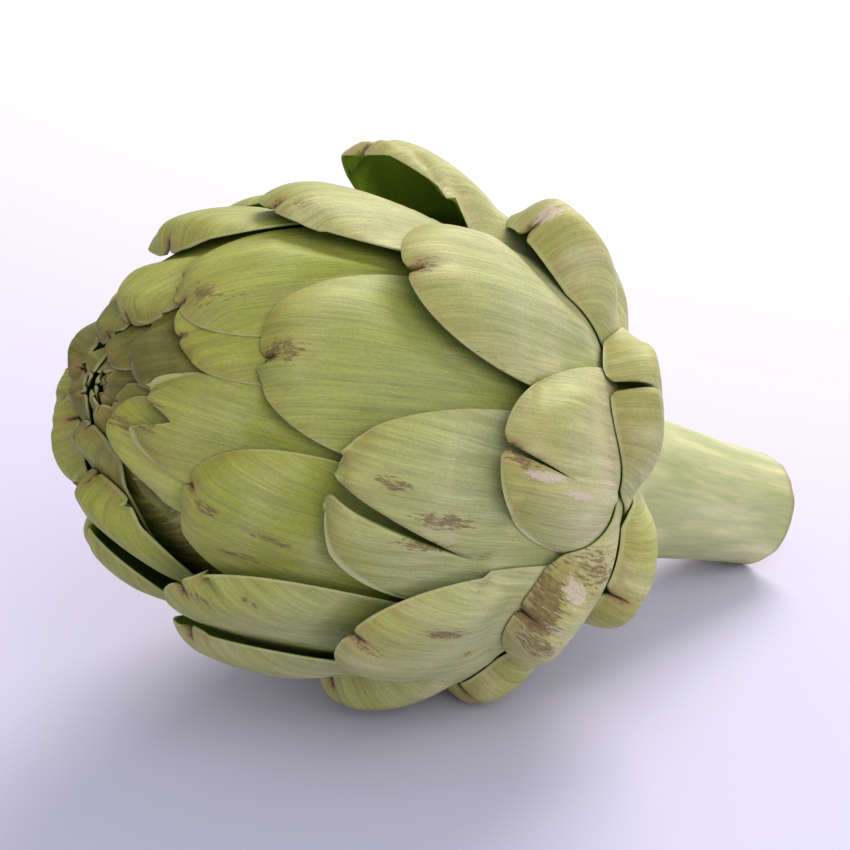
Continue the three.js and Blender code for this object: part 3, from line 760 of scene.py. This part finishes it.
def times(tree, *values):
    """The product of masks."""
    product = values[0]
    for value in values[1:]:
        product = maths(tree, "MULTIPLY", product, value)
    return product


def grey(tree, value):
    return node(tree, "ShaderNodeCombineColor", {"Red": value, "Green": value, "Blue": value}).outputs[0]


def relief_tree():
    """Fine lengthwise ribs and slow dents, raised along the surface of a mesh by its own places."""
    tree = bpy.data.node_groups.new("lengthwise_relief", "GeometryNodeTree")
    sockets = [("Geometry", "Geometry", None), ("Rib scale", "Vector", (0.4, 0.02, 1.0)),
               ("Rib height", "Float", 0.0001), ("Dent scale", "Vector", (0.06, 0.04, 1.0)),
               ("Dent height", "Float", 0.0003), ("Edge run", "Float", 3.0), ("Finish", "Material", None)]
    for name, kind, value in sockets:
        socket = tree.interface.new_socket(name, in_out="INPUT", socket_type="NodeSocket" + kind)
        if value is not None:
            socket.default_value = value
    tree.interface.new_socket("Geometry", in_out="OUTPUT", socket_type="NodeSocketGeometry")
    given = node(tree, "NodeGroupInput").outputs
    stored = "GeometryNodeInputNamedAttribute"
    place = node(tree, stored, {"Name": "place"}, data_type="FLOAT_VECTOR").outputs[0]
    rim = node(tree, stored, {"Name": "rim"}, data_type="FLOAT").outputs[0]
    ribs = noise(tree, scaled(tree, place, given["Rib scale"]), 1.0, 1.0)
    dents = noise(tree, scaled(tree, place, given["Dent scale"]), 1.0, 1.0)
    raised = maths(tree, "MULTIPLY", maths(tree, "SUBTRACT", ribs, 0.5), given["Rib height"])
    dented = maths(tree, "MULTIPLY", maths(tree, "SUBTRACT", dents, 0.5), given["Dent height"])
    eased = ramp(tree, rim, 0.0, given["Edge run"])
    height = maths(tree, "MULTIPLY", maths(tree, "ADD", raised, dented), eased)
    normal = node(tree, "GeometryNodeInputNormal").outputs[0]
    offset = node(tree, "ShaderNodeVectorMath", {0: normal, "Scale": height}, operation="SCALE").outputs[0]
    moved = node(tree, "GeometryNodeSetPosition", {"Geometry": given["Geometry"], "Offset": offset})
    whole = node(tree, "GeometryNodeRealizeInstances", {"Geometry": moved.outputs[0]})
    made = node(tree, "GeometryNodeSetMaterial", {"Geometry": whole.outputs[0], "Material": given["Finish"]})
    node(tree, "NodeGroupOutput", {"Geometry": made.outputs[0]})
    return tree


def apply_tree(piece, tree, values):
    """Runs a node tree on a piece with the named values, and leaves a plain mesh."""
    modifier = piece.modifiers.new(tree.name, "NODES")
    modifier.node_group = tree
    names = {item.name: item.identifier for item in tree.interface.items_tree if item.in_out == "INPUT"}
    for name, value in values.items():
        modifier[names[name]] = value
    graph = bpy.context.evaluated_depsgraph_get()
    mesh = bpy.data.meshes.new_from_object(piece.evaluated_get(graph))
    piece.modifiers.remove(modifier)
    places = np.zeros(3 * len(mesh.vertices))
    mesh.vertices.foreach_get("co", places)
    places[2::3] = np.maximum(places[2::3], 0)
    mesh.vertices.foreach_set("co", places)
    piece.data = mesh


def streaks_group():
    """Fine lengthwise fibres of the skin, and slow patches, as values round a half."""
    tree = bpy.data.node_groups.new("skin_fibres", "ShaderNodeTree")
    for name, kind in (("Place", "Vector"), ("Fibre scale", "Vector"), ("Patch scale", "Vector")):
        tree.interface.new_socket(name, in_out="INPUT", socket_type="NodeSocket" + kind)
    for name in ("Fibres", "Veins", "Patches"):
        tree.interface.new_socket(name, in_out="OUTPUT", socket_type="NodeSocketFloat")
    given = node(tree, "NodeGroupInput").outputs
    fibres = noise(tree, scaled(tree, given["Place"], given["Fibre scale"]), 1.0, 3.0, 0.6)
    veins = noise(tree, scaled(tree, given["Place"], given["Fibre scale"]), 0.3, 1.0)
    patches = noise(tree, scaled(tree, given["Place"], given["Patch scale"]), 1.0, 3.0)
    node(tree, "NodeGroupOutput", {"Fibres": fibres, "Veins": veins, "Patches": patches})
    return tree


def flecks_group():
    """Streaky brown flecks that lie lengthwise. Amount 0 leaves none and 1 covers most."""
    tree = bpy.data.node_groups.new("brown_flecks", "ShaderNodeTree")
    for name, kind in (("Place", "Vector"), ("Fleck scale", "Vector"), ("Amount", "Float")):
        tree.interface.new_socket(name, in_out="INPUT", socket_type="NodeSocket" + kind)
    tree.interface.new_socket("Mask", in_out="OUTPUT", socket_type="NodeSocketFloat")
    given = node(tree, "NodeGroupInput").outputs
    marks = noise(tree, scaled(tree, given["Place"], given["Fleck scale"]), 1.0, 4.0, 0.7)
    streaks = noise(tree, scaled(tree, given["Place"], given["Fleck scale"]), 3.1, 2.0, 0.6)
    level = maths(tree, "SUBTRACT", 0.82, maths(tree, "MULTIPLY", given["Amount"], 0.42))
    above = maths(tree, "SUBTRACT", marks, level)
    mask = times(tree, ramp(tree, above, 0.0, 0.11), ramp(tree, streaks, 0.3, 0.6, 0.45, 1.0))
    node(tree, "NodeGroupOutput", {"Mask": mask})
    return tree


# Colours of the skins and of the floor.
SAGE = (0.38, 0.415, 0.155, 1)
GREY_GREEN = (0.41, 0.46, 0.225, 1)
# Cream is the skin's own pale tone in random patches, and also a painted highlight on the bracts low on the
# head.
CREAM_AND_HIGHLIGHT = (0.62, 0.56, 0.31, 1)
OLIVE = (0.34, 0.34, 0.06, 1)
LIME = (0.28, 0.315, 0.03, 1)
DARK_OLIVE_AND_SHADE = (0.13, 0.12, 0.022, 1)
TAN = (0.36, 0.235, 0.085, 1)
BROWN = (0.15, 0.085, 0.035, 1)
PURPLE = (0.065, 0.026, 0.018, 1)
CORK = (0.66, 0.54, 0.45, 1)
PAINTED_RIM_HIGHLIGHT = (0.55, 0.56, 0.30, 1)
INNER_GREEN = (0.19, 0.34, 0.025, 1)
STEM_GREEN = (0.42, 0.46, 0.19, 1)
STEM_PALE = (0.66, 0.64, 0.34, 1)
FLOOR_NEAR_SHADED = (0.62, 0.61, 0.82, 1)
FLOOR_FAR_LIT = (0.80, 0.80, 0.88, 1)

# Heights above the cut over which the stem's brown stain fades in.
STAIN_TOP, STAIN_FULL = 2.4, 0.5

FIBRES = streaks_group()
FLECKS = flecks_group()


def bract_finish(name, crownward, browning, darkened_and_shaded=False):
    """Skin of the bracts: sage green with fine fibres, olive at the tips, brown at notches and scars.

    Crownward is how lime the upper bracts turn, and browning is how dark their notches are. A darkened skin
    also gets dark olive patches: partly the crown's own darker colour, partly painted shade between its
    small bracts.
    """
    material = bpy.data.materials.new(name)
    material.use_nodes = True
    tree = material.node_tree
    skin = tree.nodes["Principled BSDF"]
    place = node(tree, "ShaderNodeAttribute", attribute_name="place").outputs["Vector"]
    _, back, seed = node(tree, "ShaderNodeSeparateXYZ", {0: place}).outputs
    rim, notch, inner = value_of(tree, "rim"), value_of(tree, "notch"), value_of(tree, "inner")
    scar, cork = value_of(tree, "scar"), value_of(tree, "cork")
    scales = {"Place": place, "Fibre scale": (2.6, 0.10, 1.0), "Patch scale": (0.10, 0.045, 1.0)}
    fibres = group(tree, FIBRES, scales).outputs
    mottled = {"Place": place, "Fibre scale": (1.6, 1.3, 1.0), "Patch scale": (0.05, 0.09, 1.3)}
    mottle = group(tree, FIBRES, mottled).outputs
    grain = group(tree, FIBRES, {"Place": place, "Fibre scale": (4.5, 2.2, 1.0)}).outputs
    colour = blend(tree, ramp(tree, fibres["Patches"], 0.36, 0.66), SAGE, GREY_GREEN)
    colour = blend(tree, times(tree, ramp(tree, mottle["Patches"], 0.45, 0.75), 0.6), colour, CREAM_AND_HIGHLIGHT)
    share = ramp(tree, seed, SEED_STEP * 20, SEED_STEP * 32, 0.0, crownward)
    share = times(tree, share, ramp(tree, mottle["Patches"], 0.75, 0.4, 0.65, 1.0))
    share = times(tree, share, ramp(tree, fibres["Veins"], 0.3, 0.7, 0.85, 1.0))
    colour = blend(tree, share, colour, LIME)
    # Painted highlight: the bracts low on the head, towards the stem, turn cream in mottled patches,
    # standing in for the warm light that falls on them.
    low_on_head = ramp(tree, seed, SEED_STEP * 26, SEED_STEP * 10)
    pale = times(tree, low_on_head, ramp(tree, mottle["Patches"], 0.3, 0.6, 0.2, 0.6))
    colour = blend(tree, pale, colour, CREAM_AND_HIGHLIGHT)
    tipward = times(tree, ramp(tree, back, 26.0, 2.0), ramp(tree, fibres["Patches"], 0.3, 0.6), 0.8)
    colour = blend(tree, tipward, colour, OLIVE)
    # Partly the crown's own darker colour and partly painted shade: dark olive patches standing in for the
    # shade deep between the crown's small bracts.
    if darkened_and_shaded:
        colour = blend(tree, ramp(tree, mottle["Patches"], 0.66, 0.42, 0.45, 0.95), colour, DARK_OLIVE_AND_SHADE)
    tones = times(tree, ramp(tree, fibres["Fibres"], 0.25, 0.75, 0.84, 1.16),
                  ramp(tree, fibres["Veins"], 0.3, 0.7, 0.90, 1.08),
                  ramp(tree, mottle["Fibres"], 0.25, 0.75, 0.93, 1.07),
                  ramp(tree, grain["Fibres"], 0.25, 0.75, 0.92, 1.08))
    colour = blend(tree, 1.0, colour, grey(tree, tones), "MULTIPLY")
    by_tip = times(tree, ramp(tree, rim, 3.5, 0.2), ramp(tree, back, 14.0, 2.0))
    dry = times(tree, by_tip, ramp(tree, mottle["Veins"], 0.35, 0.7))
    colour = blend(tree, times(tree, dry, 0.5), colour, TAN)
    # Painted highlight: a pale line within half a millimetre of every rim, standing in for light catching
    # the edges' thickness.
    colour = blend(tree, times(tree, ramp(tree, rim, 0.45, 0.1), 0.5), colour, PAINTED_RIM_HIGHLIGHT)
    edge = maths(tree, "ADD", notch, times(tree, maths(tree, "SUBTRACT", mottle["Fibres"], 0.5), 1.1))
    colour = blend(tree, times(tree, ramp(tree, edge, 0.2, 0.75), 0.6), colour, TAN)
    colour = blend(tree, times(tree, ramp(tree, edge, 0.6, 1.05), browning), colour, PURPLE)
    amount = maths(tree, "ADD", maths(tree, "ADD", 0.27, scar), times(tree, notch, 0.4))
    worn = {"Place": place, "Fleck scale": (1.9, 0.42, 1.0), "Amount": amount}
    flecks = group(tree, FLECKS, worn).outputs["Mask"]
    colour = blend(tree, times(tree, scar, ramp(tree, mottle["Fibres"], 0.35, 0.65), 0.4), colour, TAN)
    colour = blend(tree, times(tree, flecks, 0.85), colour, BROWN)
    corky = {"Place": place, "Fleck scale": (1.5, 0.8, 1.0), "Amount": times(tree, cork, 1.5)}
    corked = times(tree, group(tree, FLECKS, corky).outputs["Mask"], ramp(tree, cork, 0.1, 0.4))
    colour = blend(tree, times(tree, corked, 0.9), colour, CORK)
    inside = blend(tree, ramp(tree, fibres["Fibres"], 0.3, 0.7), INNER_GREEN, LIME)
    colour = blend(tree, inner, colour, blend(tree, 0.35, INNER_GREEN, inside))
    tree.links.new(colour, skin.inputs["Base Color"])
    tree.links.new(ramp(tree, fibres["Fibres"], 0.2, 0.8, 0.60, 0.46), skin.inputs["Roughness"])
    skin.inputs["Specular IOR Level"].default_value = 0.35
    raised = maths(tree, "SUBTRACT", maths(tree, "ADD", fibres["Fibres"], grain["Fibres"]), flecks)
    bump = node(tree, "ShaderNodeBump", {"Strength": 0.45, "Distance": 0.00018, "Height": raised})
    tree.links.new(bump.outputs[0], skin.inputs["Normal"])
    return material


def stem_finish():
    """Skin of the stem: pale green with lengthwise ribs, brown flecks and a browned cut."""
    material = bpy.data.materials.new("stem_skin")
    material.use_nodes = True
    tree = material.node_tree
    skin = tree.nodes["Principled BSDF"]
    place = node(tree, "ShaderNodeAttribute", attribute_name="place").outputs["Vector"]
    _, _, height = node(tree, "ShaderNodeSeparateXYZ", {0: place}).outputs
    scales = {"Place": place, "Fibre scale": (1.2, 1.2, 0.05), "Patch scale": (0.14, 0.14, 0.04)}
    fibres = group(tree, FIBRES, scales).outputs
    colour = blend(tree, ramp(tree, fibres["Patches"], 0.35, 0.65), STEM_GREEN, STEM_PALE)
    colour = blend(tree, ramp(tree, fibres["Veins"], 0.4, 0.7, 0.0, 0.7), colour, GREY_GREEN)
    fine = ramp(tree, fibres["Fibres"], 0.25, 0.75, 0.9, 1.08)
    colour = blend(tree, 1.0, colour, grey(tree, fine), "MULTIPLY")
    spots = {"Place": place, "Fleck scale": (0.28, 0.28, 0.14), "Amount": 0.3}
    colour = blend(tree, times(tree, group(tree, FLECKS, spots).outputs["Mask"], 0.6), colour, BROWN)
    cut = ramp(tree, height, -STEM_LENGTH + STAIN_TOP, -STEM_LENGTH + STAIN_FULL)
    colour = blend(tree, times(tree, cut, 0.8), colour, TAN)
    tree.links.new(colour, skin.inputs["Base Color"])
    tree.links.new(ramp(tree, fibres["Fibres"], 0.2, 0.8, 0.6, 0.48), skin.inputs["Roughness"])
    bump = node(tree, "ShaderNodeBump", {"Strength": 0.4, "Distance": 0.0003, "Height": fibres["Fibres"]})
    tree.links.new(bump.outputs[0], skin.inputs["Normal"])
    return material


bract_skin = bract_finish("bract_skin", crownward=0.96, browning=0.8)
crown_skin = bract_finish("crown_skin", crownward=1.0, browning=0.95, darkened_and_shaded=True)
stem_skin = stem_finish()
relief = relief_tree()

fill_fronts()
for number in range(1, FREE_BRACTS + 1):
    name = f"bract_{number:02d}"
    piece = make_object(name + "_blade", [blade_mesh(BRACTS[number], BLADE_COLUMNS, BLADE_ROWS)])
    apply_tree(piece, relief, {"Finish": bract_skin})
    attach(piece, "root")
    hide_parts(name)

crown = make_object("crown_bracts", crown_parts())
apply_tree(crown, relief, {"Rib height": 0.00006, "Dent height": 0.0002, "Finish": crown_skin})
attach(crown, "root")
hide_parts("inner_bud")

stem = make_object("stem_and_heart", [stem_part()])
stem_values = {"Rib scale": (0.22, 0.22, 0.012), "Rib height": 0.0009, "Dent scale": (0.07, 0.07, 0.03),
               "Dent height": 0.0008, "Finish": stem_skin}
apply_tree(stem, relief, stem_values)
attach(stem, "root")
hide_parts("stem")

# The floor, in metres. Its colour changes slowly away from the camera: painted light and shade, a darker
# lavender near the camera and a paler one far off, where the light from behind falls brighter.
FLOOR_REACH = 6.0
FLOOR_BLEND = (-0.15, 1.0)
AWAY_FROM_CAMERA = (0.55, 0.83, 0.0)


def floor():
    mesh = bpy.data.meshes.new("floor")
    corners = [(x * FLOOR_REACH, y * FLOOR_REACH, 0) for x, y in ((-1, -1), (1, -1), (1, 1), (-1, 1))]
    mesh.from_pydata(corners, [], [(0, 1, 2, 3)])
    piece = bpy.data.objects.new("floor", mesh)
    bpy.context.scene.collection.objects.link(piece)
    material = bpy.data.materials.new("pale_floor")
    material.use_nodes = True
    tree = material.node_tree
    skin = tree.nodes["Principled BSDF"]
    inputs = {0: node(tree, "ShaderNodeTexCoord").outputs["Object"], 1: AWAY_FROM_CAMERA}
    away = node(tree, "ShaderNodeVectorMath", inputs, operation="DOT_PRODUCT").outputs["Value"]
    colour = blend(tree, ramp(tree, away, *FLOOR_BLEND), FLOOR_NEAR_SHADED, FLOOR_FAR_LIT)
    tree.links.new(colour, skin.inputs["Base Color"])
    skin.inputs["Roughness"].default_value = 0.9
    mesh.materials.append(material)


floor()

# The camera stands where the head and stem show as they do from the front left, a little above.
AZIMUTH, ELEVATION = math.radians(-33.292), math.radians(24.666)
CAMERA_DISTANCE = 0.450
LOOKS_AT = Vector((8.07, 0, 50.81)) * MM
SENSOR_WIDTH = 36
LENS = 101.67
level = math.cos(ELEVATION)
backward = Vector((math.sin(AZIMUTH) * level, -math.cos(AZIMUTH) * level, math.sin(ELEVATION)))
right = Vector((math.cos(AZIMUTH), math.sin(AZIMUTH), 0))
upward = backward.cross(right)
camera_data = bpy.data.cameras.new("camera")
camera_data.sensor_width = SENSOR_WIDTH
camera_data.lens = LENS
camera = bpy.data.objects.new("camera", camera_data)
bpy.context.scene.collection.objects.link(camera)
turned = Matrix((right, upward, backward)).transposed().to_4x4()
turned.translation = LOOKS_AT + backward * CAMERA_DISTANCE
camera.matrix_world = turned
bpy.context.scene.camera = camera

# Lights, in metres: one warm and soft from behind on the right, one weak from the front, and a pale room.
LIT_MIDDLE = (0, 0, 0.04)
ROOM_COLOUR = (0.98, 0.97, 1, 1)
ROOM_STRENGTH = 0.62


def soft_light(name, place, size, power, colour):
    """A round soft light at a place, turned to the middle of the head."""
    data = bpy.data.lights.new(name, "AREA")
    data.shape = "DISK"
    data.size = size
    data.energy = power
    data.color = colour
    lamp = bpy.data.objects.new(name, data)
    lamp.location = place
    lamp.rotation_euler = (Vector(LIT_MIDDLE) - Vector(place)).to_track_quat("-Z", "Y").to_euler()
    bpy.context.scene.collection.objects.link(lamp)


soft_light("window", place=(0.72, 0.45, 0.72), size=0.7, power=11, colour=(1, 0.93, 0.84))
soft_light("fill", place=(-0.1, -0.8, 0.75), size=0.9, power=4, colour=(1, 0.98, 0.94))

world = bpy.data.worlds.new("soft_room")
world.use_nodes = True
room = world.node_tree.nodes["Background"]
room.inputs["Color"].default_value = ROOM_COLOUR
room.inputs["Strength"].default_value = ROOM_STRENGTH
bpy.context.scene.world = world
bpy.context.scene.view_settings.view_transform = "Standard"
